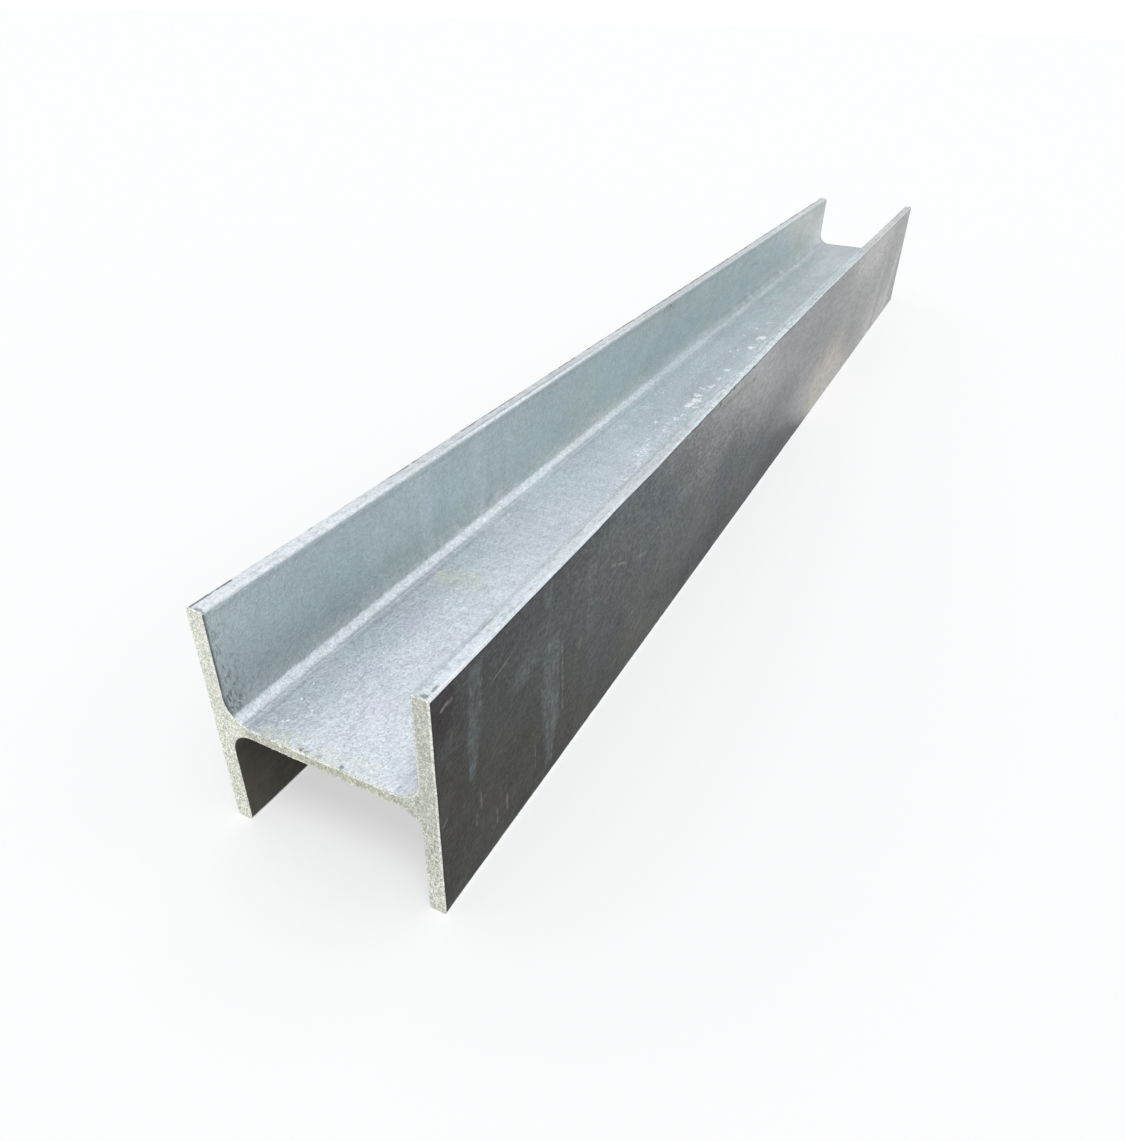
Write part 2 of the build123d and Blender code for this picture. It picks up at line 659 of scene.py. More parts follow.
def inner_faces(make, colours):
    """Blue-grey zinc of the flanges' inner faces, with painted shade low down by the web and a painted
    reflection that makes them paler past a slanting border towards the far end.
    """
    # Painted shade low down, in the corner above the web.
    low = make.fade(make.z, WEB_TOP + 2, WEB_TOP + 26)
    low = make.product(low, make.span(make.x, -320, -180, 0.9, 0.3), make.fade(make.x, 40, 160, 0.3))
    flange = make.mix(low, colours.flange, colours.flange_low_shade)
    near = make.product(make.span(make.x, NEAR_END, -320, 0.38, 0.0), make.span(make.z, 99, 64, 0.35, 1.0))
    flange = make.lay(flange, colours.grey_marks_and_shade, near)
    # Painted reflection: paler past a slanting border towards the far end.
    beyond = make.span(make.slant(make.x, make.z, 3.6), 540, 690)
    flange = make.lay(flange, colours.flange_far_reflection, beyond)
    # Painted shade in the recess just above the web.
    hollow_shade = make.span(make.z, WEB_TOP + 3, WEB_TOP + 10, 0.34, 0.0)
    hollow_shade = make.product(hollow_shade, make.fade(make.x, -60, 80, 0.5), make.fade(beyond, 0, 1, 0.4))
    flange = make.lay(flange, colours.grey_marks_and_shade, hollow_shade)
    tint = make.span(make.grain(44, 3, stretch=(1.6, 1, 1)), 0.48, 0.64)
    flange = make.lay(flange, colours.straw, tint, make.span(make.x, -380, -250), 0.3)
    streaks = make.span(make.grain(9, 3, 0.5, stretch=(1, 1, 9)), 0.50, 0.66)
    flange = make.lay(flange, colours.web_near, streaks, make.band(make.x, -360, -270, 50), 0.3)
    tint = make.span(make.grain(30, 3, stretch=(1.4, 1, 1.4)), 0.42, 0.6)
    return make.drift(flange, tint, OLIVE, SEA_BLUE)


def root_lines(make, colours, colour, ragged):
    """The white glint along the root, a painted highlight, with painted shade in the crease above it further
    along and in fine lines beside it.
    """
    dying = make.product(make.fade(make.x, -240, 20, 0.24), make.fade(make.x, 120, 380, 0.3))
    inwards = make.slant(ragged, make.span(make.x, -60, 200, 0.0, 1.5), 1.0)
    # Painted highlight: the glint along the fillet.
    glint = make.band(inwards, INNER - 5.5, INNER - 4.1, 1.5)
    broken = make.span(make.grain(16, 3, stretch=(2.5, 1, 1)), 0.36, 0.56, 0.25, 1.0)
    sparkle = make.product(
        make.span(make.grain(1.1, 2, 0.6), 0.36, 0.62, 0.5, 1.0),
        make.span(make.x, NEAR_END, -370, 0.7, 1.0),
        make.eased(broken, make.span(make.x, -100, 150)),
    )
    colour = make.lay(colour, colours.white_zinc_and_glint, glint, dying, sparkle)
    # Painted shade in the crease above the glint, further along.
    crease = make.product(
        make.band(ragged, INNER - 3.0, INNER - 1.0, 1.2),
        make.span(make.x, 0, 160),
        make.span(make.grain(14, 3), 0.3, 0.6, 0.3, 1.0),
        make.span(make.x, 380, 440, 0.5, 0.1),
    )
    colour = make.lay(colour, colours.grey_marks_and_shade, crease)
    broken = make.span(make.grain(9, 3, stretch=(3, 1, 1)), 0.34, 0.56, 0.3, 1.0)
    # Painted shade: fine grey lines beside the glint.
    for low, high, soft, share in ROOT_SHADE_LINES:
        line = make.band(ragged, INNER + low, INNER + high, soft)
        colour = make.lay(colour, colours.grey_marks_and_shade, line, dying, broken, share)
    return colour


def end_dirt(make, colours, colour, upright):
    """A blot under the left toe, the dark rims of both ends, and dross and dust by the near end."""
    speckled = make.span(make.grain(2.4, 3, 0.6), 0.46, 0.6)
    colour = make.lay(colour, colours.soot, make.patch((-26, INNER, 95), (15, 5, 7), 0.8), speckled, 0.45)
    far_rim = make.span(make.x, FAR_END - 6, FAR_END - 2.5, 0.0, 0.6)
    colour = make.lay(colour, colours.grey_marks_and_shade, far_rim)
    near_rim = make.fade(make.x, NEAR_END + 0.7, NEAR_END + 1.9)
    near_rim = make.product(near_rim, make.span(make.grain(6, 3), 0.3, 0.5, 0.45, 0.9))
    dross = make.product(
        make.span(make.grain(1.2, 4, 0.7, stretch=(1, 1, 2.8), warp=0.4), 0.5, 0.62),
        make.fade(make.slant(make.x, make.z, 0.06), NEAR_END + 5, NEAR_END + 19),
        make.span(make.z, TOP - 34, TOP - 4, 0.75, 0.35),
    )
    above_web = make.span(make.z, WEB_TOP + 1, WEB_TOP + 5)
    colour = make.lay(colour, colours.soot, make.most(dross, near_rim), above_web)
    for across in NICKS:
        nick = make.patch((NEAR_END + 1.2, across, WEB_TOP), (1.3, 1.3, 2), 1.0)
        colour = make.lay(colour, colours.soot, nick, 0.6)
    dust = make.product(
        make.span(make.grain(3.6, 3, 0.55), 0.40, 0.62),
        make.fade(upright, 0, 1),
        make.span(make.slant(make.x, make.grain(24, 2), -14), NEAR_END - 8, NEAR_END + 2, 0.7, 0.0),
        make.band(make.y, -14, 22, 12),
    )
    return make.lay(colour, colours.cut_pale, dust)


def web_level(make, crinkle, fine, brushed, upright):
    """How bright the crinkle, the spangle and the broad clouds make each place."""
    level = make.span(crinkle, 0.34, 0.66, 0.94, 1.06)
    level = make.product(level, make.span(fine, 0.34, 0.66, 0.87, 1.13))
    broad = make.span(make.grain(6, 3, 0.6, stretch=(1.4, 1, 1), drawn=True), 0.36, 0.64, 0.955, 1.045)
    level = make.product(
        make.eased(level, make.fade(upright, 0, 1, 0.72)),
        make.span(make.cells(11), 0.0, 0.8, 1.02, 0.98),
        make.eased(broad, make.span(make.x, -150, 150, 0.25, 1.0)),
        make.span(make.grain(60, 3), 0.3, 0.7, 0.97, 1.03),
        make.eased(make.fade(make.band(make.x, 100, 330, 110), 0, 1, 1.05), upright),
        make.eased(make.span(brushed, 0.36, 0.64, 0.965, 1.035), make.band(make.x, -360, -60, 40)),
    )
    for middle, reach, factor in WEB_SHADES:
        level = make.change(level, make.patch(middle, reach, 0.5), factor)
    further = make.product(make.span(make.z, TOP - 3, TOP - 2), make.span(make.x, 0, 90))
    return make.change(level, make.most(make.band(make.z, TOP - 3.8, TOP - 2.6, 0.7), further), 0.92)


def web_zinc(colours):
    """Bright crinkled zinc on the web, bluer and smoother up the inner faces of the flanges."""
    make = Finish("web_zinc", 0.5)
    brushed = make.grain(3, 3, stretch=(0.8, 5, 1))
    ragged = make.wavy(make.side, 0.9, 5, 3)
    upright = make.span(ragged, INNER - 3.3, INNER - 2.7)
    colour = make.mix(upright, web_faces(make, colours, brushed), inner_faces(make, colours))
    colour = root_lines(make, colours, colour, ragged)
    colour = end_dirt(make, colours, colour, upright)
    crinkle = make.grain(2.4, 4, 0.64, stretch=(1.3, 1, 1), warp=0.6, drawn=True)
    fine = make.grain(0.9, 3, 0.6, stretch=(1.2, 1, 1), drawn=True)
    colour = make.shade(colour, web_level(make, crinkle, fine, brushed, upright))
    specks = make.span(make.grain(1.3, 2, 0.5, stretch=(1.5, 1, 1)), 0.70, 0.76)
    colour = make.lay(colour, colours.grey_marks_and_shade, specks, 0.3)
    roughness = make.span(make.math("ADD", crinkle, fine), 0.7, 1.3, 0.42, 0.6)
    strength = make.fade(make.x, NEAR_END, 50, 0.5)
    crinkle = make.product(crinkle, strength)
    fine = make.product(fine, strength)
    return make.finish(colour, roughness, [(make.grain(9, 3), 0.35), (crinkle, 0.7), (fine, 0.22)])


# Outer faces

# Streaks down the patina, in millimetres: place along the beam at the top and at the bottom,
# lowest and highest point, half width, strength
STREAKS = (
    (-425.0, -429.5, 45, 95, 4.4, 0.62),
    (-373.0, -373.0, 6, 70, 7.2, 0.72),
    (-376.0, -374.0, 60, 96, 3.5, 0.3),
    (-338.0, -337.0, 30, 84, 5.0, 0.22),
)

# Scratches, in millimetres: start and end, each along the beam and up it, half width, strength
SCRATCHES = (
    ((-416.4, 80.2), (-402.0, 83.4), 0.6, 0.6),
    ((-444.5, 90.6), (-441.6, 91.6), 1.1, 0.6),
    ((-441.0, 91.2), (-438.8, 91.2), 1.3, 0.65),
    ((-440.2, 75.6), (-439.8, 78.6), 1.0, 0.35),
    ((-424.9, 37.5), (-424.6, 29.5), 0.9, 0.45),
    ((-428.0, 30.0), (-428.2, 24.5), 0.8, 0.35),
    ((-414.6, 19.0), (-414.4, 12.0), 0.9, 0.4),
    ((-407.1, 20.0), (-407.2, 13.0), 1.0, 0.45),
    ((-385.4, 26.0), (-385.3, 14.5), 0.9, 0.35),
    ((-363.9, 62.5), (-362.4, 27.5), 1.1, 0.35),
    ((-367.6, 53.0), (-367.0, 38.0), 0.7, 0.3),
    ((-348.2, 49.6), (-347.0, 51.4), 1.6, 0.5),
    ((-448.0, 43.0), (-445.4, 44.2), 0.8, 0.5),
    ((-319.0, 72.4), (-303.0, 65.0), 1.0, 0.4),
    ((-288.0, 59.5), (-279.0, 57.5), 1.5, 0.5),
    ((-276.0, 62.0), (-266.0, 64.0), 1.2, 0.4),
    ((-262.0, 45.5), (-256.0, 54.5), 1.1, 0.4),
    ((-249.0, 56.0), (-243.0, 48.0), 1.2, 0.35),
    ((-350.4, 52.0), (-345.6, 54.4), 1.3, 0.4),
    ((-206.0, 5.0), (-206.4, 16.0), 1.1, 0.35),
    ((-292.0, 26.0), (-291.0, 34.0), 1.0, 0.3),
    ((-180.0, 93.0), (-115.0, 88.5), 1.9, 0.6),
    ((-169.0, 91.5), (-138.0, 88.6), 1.2, 0.5),
)

# Streaks near the far end, in millimetres: place along the beam at the foot, how far they slant
# with height, half width, and strength, below 0 for a dark one
FAR_STREAKS = (
    (383, 0.75, 16, 0.6),
    (318, 0.75, 14, -0.5),
    (425, 0.5, 14, -0.5),
    (444, 0.3, 8, -0.6),
    (290, 0.7, 14, 0.35),
)

# Clouds, in millimetres: middle along and up, half length, half height, and then for the shades
# the level, below 1 for darker, and for the chalky and the dull ones the strength
OUTER_SHADES = (
    (-190, 8, 60, 20, 0.8),
    (-425, 6, 60, 20, 0.92),
    (-37, 8, 52, 18, 1.09),
    (110, 48, 60, 22, 0.91),
    (-310, 74, 100, 28, 1.11),
    (-300, 6, 90, 20, 1.1),
    (-112, 28, 50, 22, 1.08),
    (38, 27, 50, 18, 1.1),
    (45, 68, 60, 18, 0.93),
    (188, 30, 50, 18, 0.91),
)
CHALKY_CLOUDS = ((265, 94, 120, 34, 0.6), (352, 4, 110, 30, 0.6))
DULL_CLOUDS = ((55, 78, 60, 22, 0.6), (215, 40, 70, 34, 0.5), (330, 52, 90, 26, 0.4))

PITS = ((-181.6, 95.6), (-158.5, 97.0), (-121.0, 97.2))  # under the toe, in millimetres: along and up


def near_patina_and_dark_reflection(make, colours):
    """The dark near part: olive tarnish with browner and bluer clouds and slate further along, darkened as a
    painted reflection of shaded ground.
    """
    slate = make.span(make.slant(make.x, make.z, 1.4), -400, -130)
    slate = make.product(slate, make.span(make.z, 0, 50, 0.72, 1.0))
    blotches = make.product(make.span(make.grain(22, 3), 0.46, 0.62), make.span(make.z, 30, 75, 0.06, 0.3))
    patches = make.span(make.grain(19, 3, 0.55, stretch=(1, 1, 1.5)), 0.46, 0.62, 0.0, 0.7)
    dark = make.mix(patches, colours.patina_and_dark_reflection, colours.umber)
    dark = make.lay(dark, colours.slate, make.most(slate, blotches))
    browner = make.span(make.grain(30, 3, 0.55, stretch=(1, 1, 1.3)), 0.44, 0.6)
    dark = make.drift(dark, browner, PLUM_BLUE, BROWN)
    # Darker low down, deepening the painted reflection of shaded ground.
    return make.lay(dark, colours.patina_and_dark_reflection, make.fade(make.z, 8, 34), make.band(make.x, -240, -30, 60), 0.3)


def pale_zinc_and_lit_reflection(make, colours):
    """Pale zinc past the dark part, a painted reflection of lit ground, with warm, chalky and dull clouds
    and slanting streaks.
    """
    pale = make.mix(make.span(make.x, 60, 300), colours.ash, colours.pale)
    pale = make.lay(pale, colours.chalk, make.span(make.z, 56, 84), make.band(make.x, -240, -95, 60), 0.35)
    pale = make.lay(pale, colours.warm, make.outer_patch(116, 8, 112, 54, 0.5))
    for *place, share in CHALKY_CLOUDS:
        pale = make.lay(pale, colours.chalk, make.outer_patch(*place, 0.6), share)
    for *place, share in DULL_CLOUDS:
        pale = make.lay(pale, colours.ash, make.outer_patch(*place, 0.8), share)
    for along, leaning, half_width, share in FAR_STREAKS:
        off = make.distance(make.slant(make.x, make.z, -leaning), along)
        streak = make.product(make.fade(off, 0.3 * half_width, half_width), make.span(make.z, 88, 40))
        pale = make.lay(pale, colours.chalk if share > 0 else colours.ash, streak, abs(share))
    return pale


def streaked(make, colours, colour, clouds):
    """Blue-grey streaks that ran down the patina."""
    threads = make.span(make.grain(1.6, 3, 0.6, stretch=(1, 1, 7), warp=0.3), 0.36, 0.6, 0.5, 1.0)
    wander = make.wavy(make.x, 5, 12, 2)
    for high_x, low_x, low, high, half_width, share in STREAKS:
        lean = (high_x - low_x) / (high - low)
        off = make.distance(make.slant(wander, make.z, -lean), low_x - lean * low)
        off = make.math("DIVIDE", off, make.span(make.z, low, low + 0.5 * (high - low), 0.4, 1.0))
        streak = make.product(make.fade(off, 0.55 * half_width, 1.25 * half_width), clouds, threads)
        colour = make.lay(colour, colours.streak, streak, make.band(make.z, low + 5, high - 3, 7), share)
    return make.lay(colour, colours.streak, make.outer_patch(-393, 70, 16, 9, 1.0), threads, 0.45)


def darkened(make, colours, colour):
    """The smudge by the near corner, dark lines along the edges, and pits under the toe."""
    colour = make.lay(colour, colours.smudge, make.outer_patch(NEAR_END + 3, 90, 14, 15, 1.0), 0.7)
    rims = make.span(make.x, NEAR_END + 0.9, NEAR_END + 2.2, 0.6, 0.0)
    under_toe = make.product(
        make.span(make.z, TOP - 2.6, TOP - 1.4),
        make.span(make.x, -100, 150, 0.75, 0.25),
        make.span(make.grain(9, 3, 0.6, stretch=(3, 1, 1)), 0.3, 0.55, 0.25, 1.0),
    )
    foot = make.product(make.span(make.z, 1.2, 3.4, 0.55, 0.0), make.band(make.x, -150, 10, 30))
    colour = make.lay(colour, colours.smudge, make.most(rims, under_toe, foot))
    for along, height in PITS:
        colour = make.lay(colour, colours.smudge, make.outer_patch(along, height, 2.6, 1.3, 0.7), 0.7)
    return colour


def scratched(make, colours, colour, clouds):
    """The scratches, and fine nicks, swipes and flecks scattered over the patina."""
    for start, end, half_width, share in SCRATCHES:
        colour = make.lay(colour, colours.scratch, make.stroke(start, end, half_width), clouds, share)
    nicks = make.product(
        make.span(make.grain(0.9, 2, 0.5, stretch=(1, 1, 7)), 0.66, 0.74),
        make.span(make.grain(20, 2), 0.5, 0.62),
        make.fade(make.x, -300, -150),
    )
    swipes = make.product(
        make.span(make.grain(0.8, 2, 0.5, stretch=(14, 1, 1), turn=(0, math.radians(5), 0)), 0.68, 0.75),
        make.span(make.grain(26, 2, stretch=(1, 1, 0.8)), 0.52, 0.62),
    )
    flecks = make.product(
        make.span(make.grain(1.1, 2, 0.5), 0.66, 0.74),
        make.span(make.grain(30, 2), 0.42, 0.58),
        make.band(make.x, -400, -210, 60),
    )
    for marks, share in ((nicks, 0.25), (swipes, 0.2), (flecks, 0.7)):
        colour = make.lay(colour, colours.scratch, marks, share)
    return colour


def outer_zinc(colours):
    """Patina of the outer faces with a painted reflection of the ground: dark where it shows shaded ground
    at the near end, and pale past a slanting border where it shows lit ground.
    """
    make = Finish("outer_zinc", 0.35, 0.25)
    # The slanting border between the painted reflections of shaded and lit ground.
    border = make.wavy(make.slant(make.x, make.z, 2.88), 60, 38, 3, 0.55, stretch=(1.8, 1, 1))
    border_width = make.math("MULTIPLY_ADD", make.z, 2.1, 34)
    pale = make.math("DIVIDE", make.math("SUBTRACT", border, 62), border_width)
    pale = make.span(pale, -0.5, 0.5)
    colour = make.mix(pale, near_patina_and_dark_reflection(make, colours), pale_zinc_and_lit_reflection(make, colours))
    colour = make.lay(colour, colours.slate, make.outer_patch(-38, 49, 60, 20, 0.6), 0.3)
    colour = make.lay(colour, colours.ash, make.outer_patch(-192, 70, 56, 18, 0.8), 0.3)
    clouds = make.span(make.grain(6, 3, 0.6), 0.34, 0.62, 0.35, 1.0)
    colour = streaked(make, colours, colour, clouds)
    colour = darkened(make, colours, colour)
    colour = scratched(make, colours, colour, clouds)

    broad = make.grain(22, 4, 0.6, stretch=(1.3, 1, 1), drawn=True)
    crinkle = make.grain(2.8, 4, 0.62, stretch=(1.4, 1, 1), drawn=True)
    fine = make.grain(1.0, 3, 0.6, stretch=(1.3, 1, 1), drawn=True)
    level = make.product(
        make.span(broad, 0.3, 0.7, 0.95, 1.05),
        make.eased(make.span(crinkle, 0.38, 0.62, 0.78, 1.22), make.fade(pale, 0, 1, 0.58)),
        make.eased(make.span(fine, 0.38, 0.62, 0.74, 1.26), make.fade(pale, 0, 1, 0.32)),
    )
    for *place, factor in OUTER_SHADES:
        level = make.change(level, make.outer_patch(*place, 0.7), factor)
    colour = make.shade(colour, level)
    roughness = make.span(make.math("ADD", broad, crinkle), 0.7, 1.3, 0.44, 0.62)
    return make.finish(colour, roughness, [(make.grain(12, 3), 0.3), (crinkle, 0.4), (fine, 0.14)])


# Toes

# Dark smudges at the near end, in millimetres: middle, and reach along each axis
SMUDGES = (
    ((-448.8, -46.1, TOP), (1.6, 1.9, 3)),
    ((-444.4, -46.9, TOP), (2.6, 0.8, 3)),
    ((-448.9, 43.6, TOP), (1.2, 3.0, 3)),
)


def left_toe_lines(make, colours, colour, left):
    """Inner edge of the left toe: a painted highlight along it, a worn line beside it, and blue-grey further
    along.
    """
    wander = make.wavy(make.y, 1.2, 7, 3, 0.6)
    # Painted highlight along the round of the inner edge.
    white_highlight_line = make.product(
        make.span(wander, INNER + 1.4, INNER + 0.7),
        left,
        make.span(make.x, -330, -250, 0.7, 1.0),
        make.fade(make.x, -200, -60, 0.25),
    )
    colour = make.lay(colour, colours.white_zinc_and_glint, white_highlight_line)
    worn_line = make.product(
        make.band(wander, INNER + 1.7, INNER + 2.3, 0.5),
        make.span(make.x, -340, -240),
        make.span(make.grain(12, 3), 0.3, 0.5, 0.3, 0.8),
        make.fade(make.x, -220, -130, 0.25),
    )
    colour = make.lay(colour, colours.worn, worn_line)
    rounded = make.product(make.span(make.y, INNER + 1.4, INNER + 0.7), left, make.span(make.x, -170, -30))
    return make.lay(colour, colours.flange, rounded, 0.85)


def right_toe_lines(make, colours, colour, right, lumps):
    """Inner part of the right toe in the web's tone, a worn groove beside it, and a shine at mid length."""
    across = make.wavy(make.wavy(make.y, 1.4, 26, 2), 1.3, 6, 3, 0.6)
    across = make.slant(across, make.band(make.x, -130, 160, 90), 1.2)
    inside = make.span(across, -INNER - 2.1, -INNER - 1.5)
    colour = make.lay(colour, colours.web_middle, inside, right, 0.75)
    groove = make.product(
        make.band(across, -INNER - 2.3, -INNER - 1.9, 0.5),
        make.span(make.grain(8, 3, 0.6, stretch=(4, 1, 1)), 0.36, 0.56, 0.25, 1.0),
        make.span(make.x, -380, -230, 0.65, 0.34),
    )
    colour = make.lay(colour, colours.worn, groove)
    shine = make.product(
        make.band(make.x, -170, -30, 60),
        make.span(across, -INNER - 2.0, -INNER - 3.0),
        right,
        make.span(lumps, 0.65, 0.35, 0.15, 0.5),
    )
    colour = make.lay(colour, colours.white_zinc_and_glint, shine)
    outer_part = make.span(make.y, -INNER - 3.6, -INNER - 4.6)
    return make.lay(colour, colours.chalk, outer_part, make.span(make.x, 120, 260), 0.8)


def toe_edges(make, colours, colour, left):
    """Outer edges: worn and darkly dashed on the left, a painted highlight on the right, and smudged at the
    near end.
    """
    far_edge = make.product(make.span(make.side, EDGE - 2.0, EDGE - 1.0), left, make.span(make.x, 120, 260))
    colour = make.lay(colour, colours.worn, far_edge, 0.9)
    outwards = make.slant(make.y, make.span(make.x, -160, 80), 1.0)
    strength = make.most(
        make.span(make.grain(30, 3, 0.6), 0.5, 0.56, 0.1, 0.9),
        make.fade(make.x, -430, -426),
        make.product(make.span(make.x, -240, 0, 0.0, 0.62), make.fade(make.x, 60, 200, 0.6)),
    )
    dashes = make.product(
        make.span(make.grain(2.6, 3, 0.6, stretch=(1.4, 1, 1), drawn=True), 0.42, 0.48),
        make.span(outwards, EDGE - 2.1, EDGE - 1.2),
        strength,
    )
    colour = make.lay(colour, colours.soot, dashes, 0.9)
    for middle, reach in SMUDGES:
        colour = make.lay(colour, colours.soot, make.patch(middle, reach, 1.2), 0.6)
    # Painted highlight along the right toe's outer edge, fading further along.
    right_edge_highlight = make.span(make.y, -EDGE + 1.2, -EDGE + 0.5)
    return make.lay(colour, colours.white_zinc_and_glint, right_edge_highlight, make.span(make.x, -200, 100, 0.9, 0.3))


def toe_level(make, lumps, fine, left, right):
    """How bright the lumps and the broad clouds make each place, quieter at the far end and on the left."""
    level = make.product(
        make.span(lumps, 0.36, 0.64, 1.07, 0.90),
        make.span(fine, 0.36, 0.64, 0.81, 1.14),
        make.span(make.grain(26, 3, stretch=(2, 1, 1)), 0.32, 0.68, 0.94, 1.05),
    )
    level = make.eased(level, make.fade(make.x, -100, 200, 0.85))
    level = make.eased(level, make.fade(left, 0, 1, 0.65))
    level = make.eased(level, make.span(make.slant(make.x, make.y, 3.0), -480, -340, 0.65, 1.0))
    level = make.product(level, make.eased(make.fade(make.x, 0, 150, 1.06), left))
    level = make.change(level, make.product(make.band(make.x, -290, -70, 50), right), 0.92)
    return make.change(level, make.band(make.x, 270, 330, 40), 1.06)


def toe_zinc(colours):
    """Thick rough zinc on the toes, whiter and more worn than the faces."""
    make = Finish("toe_zinc", 0.4)
    left = make.span(make.y, -1, 1)
    right = make.span(make.y, 1, -1)
    near = make.fade(make.x, NEAR_END, -100)
    colour = make.mix(near, colours.toe_far, colours.toe)
    lumps = make.grain(3.0, 4, 0.65, stretch=(1.5, 1, 1), drawn=True)
    fine = make.grain(0.9, 3, 0.6, drawn=True)
    white = make.product(make.band(make.x, -150, -80, 40), 0.4)
    white = make.most(make.span(make.x, -400, -340, 0.8, 0.0), white)
    colour = make.lay(colour, colours.white_zinc_and_glint, white, left, 0.9)
    colour = make.lay(colour, colours.worn, make.span(lumps, 0.5, 0.66), make.span(near, 0, 1, 0.2, 0.34))
    colour = left_toe_lines(make, colours, colour, left)
    colour = right_toe_lines(make, colours, colour, right, lumps)
    colour = toe_edges(make, colours, colour, left)
    colour = make.drift(colour, make.product(make.band(make.x, -200, 160, 60), right), WHITE, COOL)
    colour = make.shade(colour, toe_level(make, lumps, fine, left, right))
    roughness = make.span(lumps, 0.3, 0.7, 0.48, 0.66)
    return make.finish(colour, roughness, [(lumps, 0.5), (fine, 0.2)])


# Underside, cut ends, runs and burrs


def underside_zinc(colours):
    """Brown-grey zinc below the web, darkened in blotches as painted shade and a painted reflection of dark
    ground, slate-grey further along.
    """
    make = Finish("underside_zinc", 0.4)
    crinkle = make.grain(3.2, 4, 0.6)
    # Painted shade and painted reflection of dark ground, in blotches.
    colour = make.mix(make.span(make.grain(28, 4, 0.6), 0.35, 0.65), colours.shaded, colours.underside_shade)
    colour = make.lay(colour, colours.slate, make.span(make.x, -200, 350, 0.0, 0.6))
    colour = make.shade(colour, make.span(crinkle, 0.3, 0.7, 0.9, 1.1))
    roughness = make.span(crinkle, 0.3, 0.7, 0.5, 0.68)
    return make.finish(colour, roughness, [(make.grain(12, 3), 0.3), (crinkle, 0.3)])


def cut_zinc(colours):
    """Creamy matt zinc over a sawn end, with fine bright and dark grains and a painted highlight along its
    rim.
    """
    make = Finish("cut_zinc", 0.15)
    colour = make.mix(make.span(make.y, -30, 38), colours.cut_grey, colours.cut_pale)
    colour = make.lay(colour, colours.cut, make.band(make.side, -1, 30, 6))
    colour = make.lay(colour, colours.cut_pale, make.fade(make.z, 14, 36), make.fade(make.y, -30, -20), 0.7)
    clumps = make.grain(1.6, 2, 0.5)
    fine = make.grain(0.66, 2, 0.55)
    pits = make.span(make.grain(1.3, 2, 0.5, stretch=(1, 1, 1.3)), 0.58, 0.70)
    colour = make.lay(colour, colours.grit, pits, make.span(make.z, 25, 70, 0.6, 0.25))
    colour = make.lay(colour, colours.cut_grain_and_rim_highlight, make.span(make.grain(1.4, 2, 0.5), 0.60, 0.68), 0.6)
    # Painted highlight along the rounded rim, broken in places.
    rim = make.node("ShaderNodeAttribute", attribute_name="rim").outputs["Fac"]
    broken = make.span(make.grain(4, 3), 0.3, 0.56, 0.45, 1.0)
    upper = make.span(make.z, WEB_TOP - 6, WEB_TOP - 2, 0.5, 1.0)
    upper = make.most(upper, make.span(make.side, INNER + 2, INNER + 4))
    colour = make.lay(colour, colours.cut_grain_and_rim_highlight, rim, broken, upper, 0.95)
    level = make.product(make.span(clumps, 0.34, 0.66, 0.88, 1.12), make.span(fine, 0.34, 0.66, 0.7, 1.3))
    level = make.eased(level, make.span(make.z, 30, 62, 1.15, 0.9))
    colour = make.shade(colour, make.product(level, make.span(make.grain(7, 3, 0.5), 0.3, 0.7, 0.95, 1.05)))
    roughness = make.span(fine, 0.3, 0.7, 0.55, 0.75)
    return make.finish(colour, roughness, [(clumps, 0.35), (fine, 0.16)])


def run_zinc(colours):
    """Clean bright zinc of the runs and lumps that froze on the web."""
    make = Finish("run_zinc", 0.25)
    lumps = make.grain(2.0, 3, 0.6)
    colour = make.mix(make.span(lumps, 0.35, 0.65), colours.run, colours.white_zinc_and_glint)
    roughness = make.span(lumps, 0.3, 0.7, 0.35, 0.5)
    return make.finish(colour, roughness, [(lumps, 0.3), (make.grain(0.8, 2), 0.1)])


def burr_zinc(colours):
    """Pale zinc of the burrs and the bead at the near cut end."""
    make = Finish("burr_zinc", 0.15)
    fine = make.grain(0.9, 2, 0.5)
    colour = make.mix(make.span(fine, 0.35, 0.65), colours.cut_pale, colours.cut_grain_and_rim_highlight)
    return make.finish(colour, make.span(fine, 0.3, 0.7, 0.5, 0.7), [(fine, 0.15)])


class BEAM_OT_coated_beam(bpy.types.Operator):
    """Model the whole beam with its zinc coat"""

    bl_idname = "beam.coated_beam"
    bl_label = "Coated beam"

    def execute(self, context):
        colours = context.scene.beam_colours
        makers = (web_zinc, outer_zinc, toe_zinc, underside_zinc, cut_zinc)
        materials = [maker(colours) for maker in makers]
        piece = make_object("coated_beam", coated_beam(context.scene.beam_shape), materials)
        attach(piece, BODY)
        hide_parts(NODE)
        return {"FINISHED"}


# Lumps of zinc that froze on the coat


def add_lump(bm, place, reach, turn=0.0, wobble=0.25):
    """A rounded lump with its middle at a place and half its size along each of its axes in reach."""
    stand = Matrix.Translation(place) @ Matrix.Rotation(turn, 4, "Z")
    made = bmesh.ops.create_icosphere(bm, subdivisions=2, radius=1, matrix=Matrix())
    for vertex in made["verts"]:
        vertex.co *= 1 + wobble * noise.noise(vertex.co * 1.3 + Vector(place) * 900)
        flat = Vector([size * share for size, share in zip(reach, vertex.co)])
        vertex.co = inside_box(stand @ flat)


